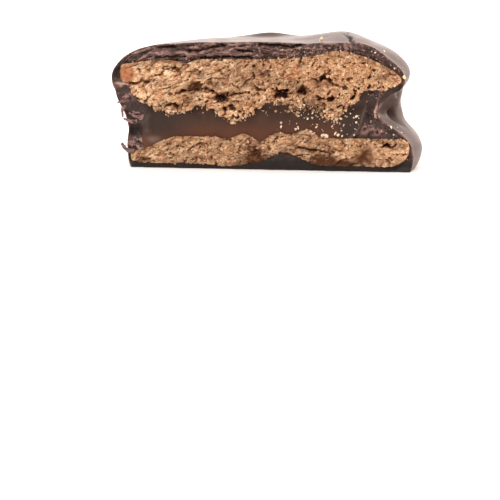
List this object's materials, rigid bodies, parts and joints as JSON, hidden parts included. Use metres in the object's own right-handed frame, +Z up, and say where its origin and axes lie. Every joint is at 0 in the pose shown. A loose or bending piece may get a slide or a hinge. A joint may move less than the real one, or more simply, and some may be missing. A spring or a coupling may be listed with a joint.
{
  "type": "half of a chocolate-coated alfajor",
  "caption": "Half of a round sandwich biscuit, two crumbly biscuits with dulce de leche between them in a dark chocolate coat, broken through the middle.",
  "frame": {"origin": "on the face it stands on, under the middle of the bounding box", "axes": "+X along the break, to the right of someone who looks at the break; +Y from the break into the piece; +Z up"},
  "size_m": [0.0618, 0.0302, 0.0261],
  "materials": {
    "chocolate": "satin dark chocolate",
    "biscuit": "matt golden-brown crumb",
    "filling": "smooth brown dulce de leche with a soft sheen"
  },
  "bodies": {
    "root": {"chocolate_coat": "chocolate", "upper_biscuit": "biscuit", "dulce_de_leche": "filling", "lower_biscuit": "biscuit"}
  },
  "joints": []
}
